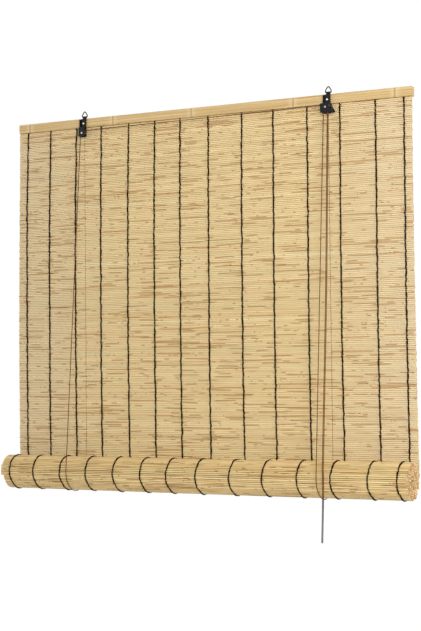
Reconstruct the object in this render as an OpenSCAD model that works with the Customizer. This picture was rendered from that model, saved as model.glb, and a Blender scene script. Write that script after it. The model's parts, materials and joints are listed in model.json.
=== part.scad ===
// Roller blind of split reeds woven on black cords, hung from a bamboo headrail by two ringed fittings.
// The rolled foot lies in two cord slings that run over pulleys to one pair of pull cords.

/* [Mat] */
// Width of the woven mat, the headrail and the roll
blind_w = 1200; // [1000:20:1400]
// Whole length of the woven mat, rolled part included
mat_length = 2200; // [2000:20:2400]
// Length of mat hanging from the headrail's top edge to the roll
hang = 1005; // [905:5:1105]
// Thickness of one reed
reed_d = 4.8; // [4.4:0.1:5.2]
// Space left between one reed and the next
reed_gap = 0.2; // [0.1:0.05:0.4]
// Slack between one turn of the roll and the next
roll_slack = 0.75; // [0.55:0.05:0.95]
// Number of clear slits where neighbouring reeds stand apart
slits = 104; // [0:13:117]

/* [Warp cords] */
// Thickness of the black warp cords
warp_d = 2.4; // [2:0.1:2.8]
// Distance from the mat's edge to the outermost warp cord
warp_edge = 23; // [18:1:30]
// Distance from the outermost warp cord to the next one
warp_end_bay = 78; // [70:1:84]
// Share of the inner width taken by the six bays on the left
warp_left_share = 0.514; // [0.505:0.001:0.523]

/* [Headrail] */
// Height of the two bamboo battens of the headrail
rail_h = 25; // [23:0.5:30]
// Thickness of each bamboo batten
batten_t = 8; // [7:0.25:10]
// Width of the batten rolled up in the foot of the mat
foot_batten_w = 18; // [16:0.5:20]
// Thickness of the batten rolled up in the foot of the mat
foot_batten_t = 6; // [5:0.25:7]

/* [Fittings] */
// Distance of the left fitting from the third warp cord
left_fit = 38; // [32:1:44]
// Distance of the right fitting from the twelfth warp cord
right_fit = 30; // [27:1:34]
// Thickness of the pressed steel
steel_t = 1.5; // [1.2:0.1:1.6]
// Width of the hanger plate
plate_w = 19.5; // [18:0.5:21]
// Depth of the hanger plate's two side flanges
flange_d = 7.5; // [6:0.25:9]
// Drop of the left pulley's axle below the headrail
left_drop = 17.5; // [15.5:0.5:19]
// Drop of the right pulleys' axle below the headrail
right_drop = 11.25; // [11:0.25:12.5]
// Rim radius of a pulley
rim_r = 8; // [7.8:0.1:8.2]
// Width of a pulley
sheave_w = 5.2; // [5:0.1:5.6]
// Wire thickness of the hanging rings
wire_d = 2.8; // [2.4:0.1:3]
// Height of a hanging ring above its pivot
ring_h = 16; // [14:0.2:18]

/* [Lift cords] */
// Thickness of the lift cords
cord_d = 2.2; // [1.8:0.1:2.4]

/* [Hidden] */
$fa = 6;
$fs = 0.4;
reed_pitch = reed_d + reed_gap;
hang_reeds = round(hang / reed_pitch);
rail_low = -rail_h / 2;
mat_y = -batten_t - reed_d / 2;
mat_front = -batten_t - reed_d;
rail_front = mat_front - batten_t;
// Joints of the front batten's bamboo, as shares of the blind's width from its middle
joint_share = [-0.469, -0.236, -0.028, 0.226, 0.462];
web_t = 0.36 * reed_d;
ridge = 0.32 * reed_d;

// The roll is an Archimedean spiral, from its core to the radius that takes up the rolled length
roll_p = reed_d + roll_slack;
core_r = 12;
rolled = mat_length - hang_reeds * reed_pitch;
turn_r = sqrt(core_r * core_r + rolled * roll_p / PI);
roll_r = turn_r + reed_d / 2;
roll_y = mat_y - turn_r;
roll_z = rail_h / 2 - hang_reeds * reed_pitch - 3;
turn_reeds = round(2 * PI * turn_r / reed_pitch);
reed_turn = 360 / turn_reeds;

warps = 14;
warp_in = blind_w - 2 * (warp_edge + warp_end_bay);
warp_gap = 0.3;

web_y = rail_front;
cheek_y = web_y - steel_t;
sheave_in = cheek_y - steel_t;
near_y = sheave_in - 0.3 - sheave_w / 2;
far_y = near_y - sheave_w - 0.4;
left_front = near_y - sheave_w / 2 - 0.3;
right_front = far_y - sheave_w / 2 - 0.3;
housing_top = rail_low - 1;
left_foot = rail_low - 27.5;
right_foot = rail_low - 25.5;
root_r = 5.1;
pitch_r = root_r + 0.3 + cord_d / 2;
axle_r = 2;
run_fit = 0.05;
slant = [11.5, 24];
slant_run = [slant[1] - slant[0], housing_top - right_foot];
lock_dir = slant_run / norm(slant_run);
lock_travel = 8;
lock_r = 3;
lock_pin = 1.2;
knuckle_y = web_y - steel_t / 2;
knuckle_z = rail_h / 2 + 3.5;
neck_w = 11;
shoulder_z = rail_h / 2 - 2.5;
shoulder_rise = 3;
screw_z = -2;

function warp_x(i) = i == 0 ? -blind_w / 2 + warp_edge
    : i <= 7 ? -warp_in / 2 + (i - 1) * warp_in * warp_left_share / 6
    : i <= 12 ? warp_in / 2 - (12 - i) * warp_in * (1 - warp_left_share) / 5
    : blind_w / 2 - warp_edge;

left_x = warp_x(2) + left_fit;
right_x = warp_x(11) - right_fit;
left_ax = left_x - 4.5;
right_ax = right_x - 3.5;
left_az = rail_low - left_drop;
right_az = rail_low - right_drop;
lock_at = [11.1, right_az + 3];
left_lift = left_ax - pitch_r;
right_lift = right_ax - pitch_r;

// A cord sling lies just clear of the roll
sling_r = roll_r + 0.4 + cord_d / 2;
tie_y = -batten_t / 2;
tie_z = rail_low + 6;

// Routes of the pull cords: off their pulleys, then from the right axle across, the roll's front outward
// and its axis upward
pull_lead = [1, -3.6, -30.5];
pull_top = [[14, 0.2, 30], [14.5, 0, 8]];
pull_end = [[14.5, 0, 8], [14, 0, -45], [12, 0, -105], [10.5, 0, -153]];
pull_apart = 2.6;

bamboo = [0.78, 0.6, 0.33];
reed = [0.8, 0.67, 0.46];
twine = [0.09, 0.08, 0.08];
black_steel = [0.06, 0.06, 0.065];
bright_steel = [0.78, 0.78, 0.77];
cord_red = [0.5, 0.33, 0.28];

function unit(v) = v / norm(v);
function lead(p, i) = unit(i == 0 ? p[1] - p[0] : i == len(p) - 1 ? p[i] - p[i - 1]
    : unit(p[i + 1] - p[i]) + unit(p[i] - p[i - 1]));
function hoop(c, t, ref, r) = let (u = unit(cross(t, ref)), v = cross(u, t))
    [for (k = [0 : 7]) c + r * (cos(45 * k) * u + sin(45 * k) * v)];

// A plain cord of eight sides along a route, cut square to the leads t0 and t1 at its two ends
module cord(p, d, ref, t0 = undef, t1 = undef) {
    last = len(p) - 1;
    ways = [for (i = [0 : last]) i == 0 && t0 != undef ? unit(t0)
        : i == last && t1 != undef ? unit(t1) : lead(p, i)];
    pts = [for (i = [0 : last]) each hoop(p[i], ways[i], ref, d / 2)];
    skin = [for (i = [0 : last - 1], k = [0 : 7]) each let (a = 8 * i + k, b = 8 * i + (k + 1) % 8)
        [[a, b, b + 8], [a, b + 8, a + 8]]];
    polyhedron(pts, concat(skin, [[for (k = [0 : 7]) 7 - k]], [[for (k = [0 : 7]) 8 * last + k]]));
}

module along_x(length) rotate([90, 0, 90]) linear_extrude(length, center = true) children();
module along_y(front, depth) translate([0, front + depth, 0]) rotate([90, 0, 0])
    linear_extrude(depth) children();
module pin_y(x, z, y0, y1, r) translate([x, y1, z]) rotate([90, 0, 0]) cylinder(r = r, h = y1 - y0);

// Outline of a squared strip with its edges eased
function eased(y0, y1, z0, z1, r) = [for (c = [[y1 - r, z1 - r, 0], [y0 + r, z1 - r, 90],
    [y0 + r, z0 + r, 180], [y1 - r, z0 + r, 270]], a = [0, 30, 60, 90])
    [c[0] + r * cos(c[2] + a), c[1] + r * sin(c[2] + a)]];

function nail_x(i) = (i - 2.5) * blind_w * 0.19;

module front_batten() color(bamboo) difference() {
    union() {
        along_x(blind_w) polygon(eased(rail_front, mat_front, rail_low, -rail_low, 1.5));
        for (s = joint_share) translate([s * blind_w, rail_front + 1.1, rail_low + 2])
            cylinder(r = 1.6, h = rail_h - 4);
    }
    for (x = [left_ax, right_ax]) pin_y(x, screw_z, rail_front - 1, rail_front + 6.2, 1.65);
    for (i = [0 : 5]) pin_y(nail_x(i), 0, mat_front - 5, mat_front + 1, 1.05);
}

module back_batten() color(bamboo) difference() {
    along_x(blind_w) polygon(eased(-batten_t, 0, rail_low, -rail_low, 1));
    for (i = [0 : 5]) {
        pin_y(nail_x(i), 0, -batten_t - 1, 1, 1.05);
        pin_y(nail_x(i), 0, -1.1, 1, 2.3);
    }
    for (x = [left_lift, right_lift]) translate([x, tie_y, rail_low - 1]) cylinder(d = cord_d + 0.6, h = 11);
}

module batten_nails() color(bright_steel) for (i = [0 : 5])
    translate([nail_x(i), 0, 0]) rotate([90, 0, 0]) rotate_extrude()
    polygon([[0, 0], [2.2, 0], [2.2, 1], [1, 1], [1, -mat_front + 4], [0, -mat_front + 4.8]]);

function reed_z(i) = rail_h / 2 - reed_pitch * (i + 0.5);
function ridge_down(i, s) = [[mat_y + s * web_t / 2, reed_z(i) + reed_pitch / 2],
    [mat_y + s * reed_d / 2, reed_z(i) + 0.24 * reed_pitch],
    [mat_y + s * reed_d / 2, reed_z(i) - 0.24 * reed_pitch]];
function sheet_low() = reed_z(hang_reeds - 1) - reed_pitch / 2;
function backward(p) = [for (i = [len(p) - 1 : -1 : 0]) p[i]];

// One side of the mat in section, from the top reed down
function mat_side(s) = concat([for (i = [0 : hang_reeds - 1]) each ridge_down(i, s)],
    [[mat_y + s * web_t / 2, sheet_low()]]);

// The hanging mat: a row of reeds side by side, with slits where two of them stand apart between warp cords
module reed_sheet() color(reed) difference() {
    along_x(blind_w) polygon(concat(mat_side(-1), backward(mat_side(1))));
    if (slits > 0) for (k = [0 : slits - 1]) {
        bay = (5 * k) % (warps - 1);
        row = 9 + floor(k * (hang_reeds - 20) / slits);
        x0 = warp_x(bay);
        x1 = warp_x(bay + 1);
        translate([x0 + 0.2 * (x1 - x0), mat_y - reed_d, reed_z(row) - reed_pitch / 2 - 0.35])
            cube([0.6 * (x1 - x0), 2 * reed_d, 0.7]);
    }
    for (i = [0 : 5]) pin_y(nail_x(i), 0, mat_front - 1, -batten_t + 1, 1.05);
}

// The roll's spiral, counted in degrees from the back and turning down under the roll to the front
function spiral_r(a) = roll_r - roll_p * a / 360;
function spiral(r, a) = [roll_y + r * cos(a), roll_z - r * sin(a)];
function roll_reed(k) = [spiral(spiral_r(k * reed_turn) - ridge, k * reed_turn),
    spiral(spiral_r((k + 0.27) * reed_turn), (k + 0.27) * reed_turn),
    spiral(spiral_r((k + 0.73) * reed_turn), (k + 0.73) * reed_turn)];
function turn_edge(off) = [for (a = [384 : 20 : 360 * (roll_r - core_r - 1) / roll_p])
    spiral(spiral_r(a) + off, a)];

// The rolled part of the mat: reeds round its outer turn, its turns as a spiral groove in both ends
module reed_roll() color(reed) difference() {
    along_x(blind_w) polygon(concat([for (k = [0 : turn_reeds - 1]) each roll_reed(k)],
        [spiral(spiral_r(360) - ridge, 360)]));
    for (s = [-1, 1]) translate([s * blind_w / 2, 0, 0]) along_x(6)
        polygon(concat(turn_edge(0.6), backward(turn_edge(-0.6))));
    foot_bar(blind_w + 10);
}

module foot_bar(length) translate([-length / 2, roll_y - foot_batten_w / 2, roll_z - foot_batten_t / 2])
    cube([length, foot_batten_w, foot_batten_t]);
module foot_batten() color(bamboo) foot_bar(blind_w - 8);

// A warp cord's two strands down the hanging mat
module warp_cord(i) color(twine) {
    translate([warp_x(i), mat_front - warp_d / 2, roll_z + 16])
        cylinder(d = warp_d, h = rail_low - roll_z - 16);
    translate([warp_x(i), -batten_t + warp_d / 2, sheet_low()])
        cylinder(d = warp_d, h = rail_low - sheet_low());
}

// The same cord's turn round the outside of the roll
function warp_turn(off) = [for (a = [2 : 12 : 330]) spiral(spiral_r(a) + off, a)];
module roll_warp_cord(i) color(twine) translate([warp_x(i), 0, 0]) along_x(warp_d)
    polygon(concat(warp_turn(warp_gap), backward(warp_turn(warp_gap + warp_d))));

module hanger_screws() color(bright_steel) for (x = [left_ax, right_ax])
    translate([x, cheek_y, screw_z]) rotate([90, 0, 0]) rotate_extrude()
    polygon([[0, -7], [1.6, -6.6], [1.6, 0], [3.7, 0], [3.6, 1.2], [2.9, 2.1], [1.6, 2.6], [0, 2.7]]);

// Pressed hanger: plate with two flanges over the axle, and a neck aside of it, up a sloped shoulder, with a
// rolled eye for the ring
module hanger(x, ax, az, foot) color(black_steel) difference() {
    union() {
        along_y(cheek_y, steel_t) polygon([[ax - plate_w / 2, foot], [ax - plate_w / 2, shoulder_z],
            [x - neck_w / 2, shoulder_z + shoulder_rise], [x - neck_w / 2, knuckle_z - 1],
            [x + neck_w / 2, knuckle_z - 1], [x + neck_w / 2, shoulder_z + 1],
            [ax + plate_w / 2, shoulder_z], [ax + plate_w / 2, foot]]);
        translate([x - neck_w / 2, knuckle_y, knuckle_z]) rotate([0, 90, 0])
            cylinder(r = wire_d / 2 + 1.6, h = neck_w);
        for (s = [-1, 1])
            translate([ax + s * (plate_w - steel_t) / 2 - steel_t / 2, web_y - flange_d, rail_low + 1])
            cube([steel_t, flange_d, shoulder_z - rail_low - 1]);
    }
    translate([x - neck_w, knuckle_y, knuckle_z]) rotate([0, 90, 0])
        cylinder(r = wire_d / 2 + 0.08, h = 2 * neck_w);
    pin_y(ax, screw_z, cheek_y - 1, web_y + 1, 1.65);
    pin_y(ax, az, cheek_y - 1, web_y + 1, axle_r + run_fit);
}

// Folded housing: two cheeks of one outline, joined by a web over the pulleys
module housing(ax, az, outline, front) color(black_steel) difference() {
    translate([ax, 0, 0]) union() {
        along_y(cheek_y - steel_t, steel_t) polygon(outline);
        along_y(front - steel_t, steel_t) polygon(outline);
        translate([outline[0][0], front - steel_t, housing_top - steel_t])
            cube([outline[2][0] - outline[0][0], cheek_y - front + steel_t, steel_t]);
    }
    pin_y(ax, az, front - steel_t - 1, cheek_y + 1, axle_r + run_fit);
}

// Riveted axle: shaft with a head behind the hanger plate and one on the front cheek
module axle(ax, az, front) color(bright_steel) translate([ax, web_y, az]) rotate([90, 0, 0]) rotate_extrude()
    polygon([[0, -1], [2.7, -1], [2.7, 0], [axle_r, 0], [axle_r, web_y - front + steel_t],
        [2.7, web_y - front + steel_t], [2.4, web_y - front + steel_t + 0.9],
        [0, web_y - front + steel_t + 1.2]]);

module sheave(ax, az, y) color(bright_steel) translate([ax, y, az]) rotate([90, 0, 0]) rotate_extrude()
    polygon([[axle_r + run_fit, -sheave_w / 2], [rim_r, -sheave_w / 2], [rim_r, -sheave_w / 2 + 0.6],
        [root_r, -0.9], [root_r, 0.9], [rim_r, sheave_w / 2 - 0.6], [rim_r, sheave_w / 2],
        [axle_r + run_fit, sheave_w / 2]]);

// Hanging ring: a straight pivot wire through the hanger's eye, and a loop drawn up to a rounded point
function ring_half(s) = [[5.2 * s, 0], [7.4 * s, 0.5], [8.8 * s, 2.4], [8.3 * s, 4.8],
    [2.9 * s, ring_h - 2.2]];
module ring(x) color(black_steel) translate([x, knuckle_y, knuckle_z]) {
    rotate([0, 90, 0]) cylinder(d = wire_d, h = 15, center = true);
    cord([for (p = concat(ring_half(-1), [[-1.2, ring_h - 0.5], [1.2, ring_h - 0.5]],
        backward(ring_half(1)))) [p[0], 0, p[1]]], wire_d - 0.2, [0, 1, 0]);
}

module left_hanger() hanger(left_x, left_ax, left_az, left_foot - 1);
module left_housing() housing(left_ax, left_az, [[-11, left_foot], [-11, housing_top], [8.5, housing_top],
    [8.5, left_foot + 2], [6.5, left_foot]], left_front);
module left_axle() axle(left_ax, left_az, left_front);
module left_sheave() sheave(left_ax, left_az, near_y);
module left_ring() ring(left_x);

module right_hanger() hanger(right_x, right_ax, right_az, right_foot - 1);
module right_housing() difference() {
    housing(right_ax, right_az, [[-14.5, right_foot], [-14.5, housing_top], [slant[0], housing_top],
        [slant[1], right_foot]], right_front);
    color(black_steel) translate([right_ax + lock_at[0], 0, lock_at[1]])
        rotate([0, -atan2(lock_dir[0], lock_dir[1]), 0])
        translate([-lock_pin - run_fit, right_front - steel_t - 1, -lock_travel - lock_pin - 0.3])
        cube([2 * (lock_pin + run_fit), cheek_y - right_front + steel_t + 2,
            lock_travel + 2 * lock_pin + 0.6]);
}
module right_axle() axle(right_ax, right_az, right_front);
module right_rear_sheave() sheave(right_ax, right_az, near_y);
module right_front_sheave() sheave(right_ax, right_az, far_y);
module lock_roller() color(bright_steel)
    translate([right_ax + lock_at[0], cheek_y - 0.3, lock_at[1]]) rotate([90, 0, 0]) rotate_extrude()
    polygon([[0, 0], [lock_pin, 0], [lock_pin, steel_t], [lock_r, steel_t],
        [lock_r, cheek_y - right_front - 0.6], [lock_pin, cheek_y - right_front - 0.6],
        [lock_pin, cheek_y - right_front + steel_t + 0.5], [0, cheek_y - right_front + steel_t + 0.5]]);
module right_ring() ring(right_x);

// A quarter or half turn of cord over a pulley
function over(ax, az, y, a0, a1) = [for (a = [a0 : -15 : a1])
    [ax + pitch_r * cos(a), y, az + pitch_r * sin(a)]];
module cross_cord() color(cord_red) cord(concat(over(left_ax, left_az, near_y, 180, 90),
    over(right_ax, right_az, near_y, 90, 0)), cord_d, [0, 1, 0], [0, 0, 1], [0, 0, -1]);
module right_cord_bend() color(cord_red)
    cord(over(right_ax, right_az, far_y, 180, 0), cord_d, [0, 1, 0], [0, 0, 1], [0, 0, -1]);

// Where a straight cord from point q meets the sling round the roll, at its front or its back for s 1 or -1
function meet(q, s) = let (c = q - [roll_y, roll_z]) atan2(c[1], c[0]) + s * acos(sling_r / norm(c));
function on_sling(x, a) = [x, roll_y + sling_r * cos(a), roll_z + sling_r * sin(a)];
function down(a) = [0, -sin(a), cos(a)];

module lift_front(x, y, z) color(cord_red)
    cord([[x, y, z], on_sling(x, meet([y, z], 1))], cord_d, [1, 0, 0], [0, 0, -1], down(meet([y, z], 1)));
module lift_sling(x, y, z) color(cord_red) {
    a0 = meet([y, z], 1);
    a1 = 360 + meet([tie_y, tie_z], -1);
    cord([for (k = [0 : 14]) on_sling(x, a0 + (a1 - a0) * k / 14)], cord_d, [1, 0, 0], down(a0), down(a1));
}
module lift_back(x) color(cord_red)
    cord([on_sling(x, meet([tie_y, tie_z], -1)), [x, tie_y, tie_z]], cord_d, [1, 0, 0]);

module left_lift_front() lift_front(left_lift, near_y, left_az);
module left_lift_sling() lift_sling(left_lift, near_y, left_az);
module left_lift_back() lift_back(left_lift);
module right_lift_front() lift_front(right_lift, far_y, right_az);
module right_lift_sling() lift_sling(right_lift, far_y, right_az);
module right_lift_back() lift_back(right_lift);

function pull_at(p, dx) = [right_ax + p[0] - dx, roll_y - roll_r - 2 + p[1], roll_z + p[2]];
module pull(y, dx) color(cord_red) {
    start = [right_ax + pitch_r, y, right_az];
    cord(concat([start, start + pull_lead - [0.1 * dx, 0, 0]], [for (p = pull_top) pull_at(p, dx)]),
        cord_d, [1, 0, 0], [0, 0, -1], [0, 0, -1]);
}
module pull_tail(dx) color(cord_red)
    cord([for (p = pull_end) pull_at(p, dx)], cord_d, [1, 0, 0], [0, 0, -1]);
module pull_cord_rear() pull(near_y, 0);
module pull_cord_front() pull(far_y, pull_apart);
module pull_end_rear() pull_tail(0);
module pull_end_front() pull_tail(pull_apart);

front_batten();
back_batten();
batten_nails();
reed_sheet();
reed_roll();
foot_batten();
for (i = [1 : warps]) warp_cord(i - 1);
for (i = [1 : warps]) roll_warp_cord(i - 1);
hanger_screws();
left_hanger();
left_housing();
left_axle();
left_sheave();
left_ring();
right_hanger();
right_housing();
right_axle();
right_rear_sheave();
right_front_sheave();
lock_roller();
right_ring();
cross_cord();
right_cord_bend();
left_lift_front();
left_lift_sling();
left_lift_back();
right_lift_front();
right_lift_sling();
right_lift_back();
pull_cord_rear();
pull_cord_front();
pull_end_rear();
pull_end_front();
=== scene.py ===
import json
import math
import random

import bmesh
import bpy
import numpy as np
from mathutils import Matrix, Vector


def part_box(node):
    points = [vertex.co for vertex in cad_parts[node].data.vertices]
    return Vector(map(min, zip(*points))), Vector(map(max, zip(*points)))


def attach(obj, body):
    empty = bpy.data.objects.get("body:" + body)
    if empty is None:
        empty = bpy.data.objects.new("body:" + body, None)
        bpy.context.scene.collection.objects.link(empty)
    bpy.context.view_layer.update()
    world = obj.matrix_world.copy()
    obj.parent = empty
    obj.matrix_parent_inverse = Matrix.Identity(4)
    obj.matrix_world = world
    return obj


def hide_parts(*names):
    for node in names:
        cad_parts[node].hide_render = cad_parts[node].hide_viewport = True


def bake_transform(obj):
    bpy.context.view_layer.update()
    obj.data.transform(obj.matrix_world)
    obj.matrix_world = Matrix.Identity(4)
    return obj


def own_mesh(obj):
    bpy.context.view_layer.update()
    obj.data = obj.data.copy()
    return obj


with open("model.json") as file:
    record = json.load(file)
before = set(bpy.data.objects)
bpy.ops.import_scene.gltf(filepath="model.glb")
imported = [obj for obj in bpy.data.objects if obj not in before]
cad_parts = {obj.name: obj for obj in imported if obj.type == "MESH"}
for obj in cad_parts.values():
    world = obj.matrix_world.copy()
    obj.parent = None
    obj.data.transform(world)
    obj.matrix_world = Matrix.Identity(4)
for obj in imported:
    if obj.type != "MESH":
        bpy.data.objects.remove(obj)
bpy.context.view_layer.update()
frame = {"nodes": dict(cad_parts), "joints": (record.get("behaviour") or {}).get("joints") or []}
joints = {joint["name"]: joint for joint in frame["joints"]}
print("frame loaded,", len(frame["nodes"]), "nodes")

scene = bpy.context.scene
scene.view_settings.view_transform = "Standard"
mm = 0.001
random.seed(7)


# shader nodes

def tone(red, green, blue):
    # a colour as seen, 0 to 255, made linear
    linear = [c / 255 / 12.92 if c <= 10 else ((c / 255 + 0.055) / 1.055) ** 2.4 for c in (red, green, blue)]
    return (*linear, 1)


def feed(tree, socket, value):
    if isinstance(value, bpy.types.NodeSocket):
        tree.links.new(value, socket)
    else:
        socket.default_value = value


def work(tree, operation, first, second=0.0):
    node = tree.nodes.new("ShaderNodeMath")
    node.operation = operation
    feed(tree, node.inputs[0], first)
    feed(tree, node.inputs[1], second)
    return node.outputs[0]


def times(tree, first, second):
    return work(tree, "MULTIPLY", first, second)


def point(tree, x, y, z):
    node = tree.nodes.new("ShaderNodeCombineXYZ")
    for socket, value in zip(node.inputs, (x, y, z)):
        feed(tree, socket, value)
    return node.outputs[0]


def grain(tree, vector, scale, detail):
    node = tree.nodes.new("ShaderNodeTexNoise")
    tree.links.new(vector, node.inputs["Vector"])
    node.inputs["Scale"].default_value = scale
    node.inputs["Detail"].default_value = detail
    node.inputs["Roughness"].default_value = 0.5
    return node.outputs["Fac"]


def between(tree, value, low, high, toLow=0.0, toHigh=1.0):
    node = tree.nodes.new("ShaderNodeMapRange")
    node.interpolation_type = "SMOOTHSTEP"
    for socket, number in zip(node.inputs, (value, low, high, toLow, toHigh)):
        feed(tree, socket, number)
    return node.outputs[0]


def mixed(tree, amount, first, second):
    node = tree.nodes.new("ShaderNodeMix")
    node.data_type = "RGBA"
    feed(tree, node.inputs[0], amount)
    feed(tree, node.inputs[6], first)
    feed(tree, node.inputs[7], second)
    return node.outputs[2]


def ramp(tree, amount, stops):
    node = tree.nodes.new("ShaderNodeValToRGB")
    feed(tree, node.inputs[0], amount)
    band = node.color_ramp
    while len(band.elements) < len(stops):
        band.elements.new(0.5)
    for element, (place, colour) in zip(band.elements, stops):
        element.position = place
        element.color = colour
    return node.outputs[0]


def own(tree, name):
    node = tree.nodes.new("ShaderNodeAttribute")
    node.attribute_name = name
    return node.outputs["Fac"]


def objectPoint(tree):
    return tree.nodes.new("ShaderNodeTexCoord").outputs["Object"]


def objectAxes(tree):
    split = tree.nodes.new("ShaderNodeSeparateXYZ")
    tree.links.new(objectPoint(tree), split.inputs[0])
    return split.outputs


def bump(tree, height, depth):
    node = tree.nodes.new("ShaderNodeBump")
    node.inputs["Strength"].default_value = 1.0
    node.inputs["Distance"].default_value = depth
    tree.links.new(height, node.inputs["Height"])
    return node.outputs[0]


def newFinish(name, roughness=0.5):
    finish = bpy.data.materials.new(name)
    finish.use_nodes = True
    shader = finish.node_tree.nodes["Principled BSDF"]
    shader.inputs["Roughness"].default_value = roughness
    return finish, finish.node_tree, shader


def newGroup(name, inputs, outputs):
    group = bpy.data.node_groups.new(name, "ShaderNodeTree")
    for way, labels in (("INPUT", inputs), ("OUTPUT", outputs)):
        for label in labels:
            group.interface.new_socket(label, in_out=way, socket_type="NodeSocketFloat")
    return group, group.nodes.new("NodeGroupInput"), group.nodes.new("NodeGroupOutput")


def useGroup(tree, group, values):
    node = tree.nodes.new("ShaderNodeGroup")
    node.node_tree = group
    for label, value in values.items():
        feed(tree, node.inputs[label], value)
    return node.outputs


# camera and studio

cameraView = {"place": (1.7086, -3.4391, -0.7476), "turn": 26.24, "tilt": 2.78, "roll": -0.2,
              "focalPx": 1401.8, "framePx": (421, 631), "sensorMm": 24}


def addCamera(view):
    data = bpy.data.cameras.new("camera")
    data.sensor_fit = "VERTICAL"
    data.sensor_height = view["sensorMm"]
    data.lens = view["focalPx"] / view["framePx"][1] * view["sensorMm"]
    data.clip_end = 100
    camera = bpy.data.objects.new("camera", data)
    scene.collection.objects.link(camera)
    turned = Matrix.Rotation(math.radians(view["turn"]), 4, "Z")
    tilted = Matrix.Rotation(math.radians(90 + view["tilt"]), 4, "X")
    rolled = Matrix.Rotation(math.radians(view["roll"]), 4, "Z")
    camera.matrix_world = Matrix.Translation(view["place"]) @ turned @ tilted @ rolled
    scene.camera = camera


# each lamp has its power, place and size
studio = {"worldStrength": 0.52, "aim": (0, 0, -0.5),
          "lamps": {"key": (64, (1.8, -2.5, 0.1), 1.8), "fill": (10, (-3.2, -2.4, 0.2), 2.4),
                    "side": (21, (2.4, -0.1, -1.0), 0.8)},
          "floorZ": -3.0, "floorSize": 40, "floorTone": 0.86, "floorRough": 0.9, "floorGlow": 1.3,
          "floorShare": 0.7}


def seenBackdrop(tree):
    # 1 where the camera, a mirror or clear glass looks straight at the backdrop
    rays = tree.nodes.new("ShaderNodeLightPath").outputs
    seen = work(tree, "MAXIMUM", rays["Is Camera Ray"], rays["Is Glossy Ray"])
    return work(tree, "MAXIMUM", seen, rays["Is Transmission Ray"])


def mixShaders(tree, amount, first, second, out):
    mix = tree.nodes.new("ShaderNodeMixShader")
    for socket, value in zip(mix.inputs, (amount, first.outputs[0], second.outputs[0])):
        tree.links.new(value, socket)
    tree.links.new(mix.outputs[0], out)


def addLamp(name, power, place, size):
    lamp = bpy.data.lights.new(name, "AREA")
    lamp.energy = power
    lamp.size = size
    holder = bpy.data.objects.new(name, lamp)
    scene.collection.objects.link(holder)
    holder.location = place
    aim = Vector(studio["aim"]) - Vector(place)
    holder.rotation_euler = aim.to_track_quat("-Z", "Y").to_euler()


def lightWorld():
    # a soft white light, and a plain white where the backdrop itself is seen
    world = bpy.data.worlds.new("studio")
    world.use_nodes = True
    scene.world = world
    tree = world.node_tree
    tree.nodes.clear()
    lit = tree.nodes.new("ShaderNodeBackground")
    lit.inputs["Strength"].default_value = studio["worldStrength"]
    lit.inputs["Color"].default_value = (1, 1, 1, 1)
    seen = tree.nodes.new("ShaderNodeBackground")
    seen.inputs["Color"].default_value = (1, 1, 1, 1)
    out = tree.nodes.new("ShaderNodeOutputWorld")
    mixShaders(tree, seenBackdrop(tree), lit, seen, out.inputs[0])


def layFloor():
    bpy.ops.mesh.primitive_plane_add(size=studio["floorSize"], location=(0, 0, studio["floorZ"]))
    floor = bpy.context.object
    floor.name = "floor"
    paint = bpy.data.materials.new("floorPaint")
    paint.use_nodes = True
    tree = paint.node_tree
    diffuse = tree.nodes["Principled BSDF"]
    diffuse.inputs["Base Color"].default_value = (*[studio["floorTone"]] * 3, 1)
    diffuse.inputs["Roughness"].default_value = studio["floorRough"]
    glow = tree.nodes.new("ShaderNodeEmission")
    glow.inputs["Strength"].default_value = studio["floorGlow"]
    share = times(tree, seenBackdrop(tree), studio["floorShare"])
    mixShaders(tree, share, diffuse, glow, tree.nodes["Material Output"].inputs["Surface"])
    floor.data.materials.append(paint)


addCamera(cameraView)
lightWorld()
for name, lamp in studio["lamps"].items():
    addLamp(name, *lamp)
layFloor()
print("camera and studio set")


# shared finishes

# each mark's pace along a cane and the noise values between which it fades in
# wander also has its reach across the cane; lanes keep the marks of one cane apart from another's
# the seam mark is a painted shade along the seams between canes, near a cane's sides
caneLook = {"stain": (7.0, 0.42, 0.64), "longStreak": (9.0, 0.585, 0.625), "shortStreak": (27.0, 0.65, 0.69),
            "fleck": (95.0, 0.75, 0.8), "seam": (13.0, 0.4, 0.62), "wander": (6.0, 0.3, 0.7, -0.55, 0.55),
            "streakSide": (0.3, 0.7), "seamSide": (0.6, 1.0), "fibreAlong": 14.0, "fibreAcross": 1300.0,
            "lanes": (613.0, 271.0)}


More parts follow.
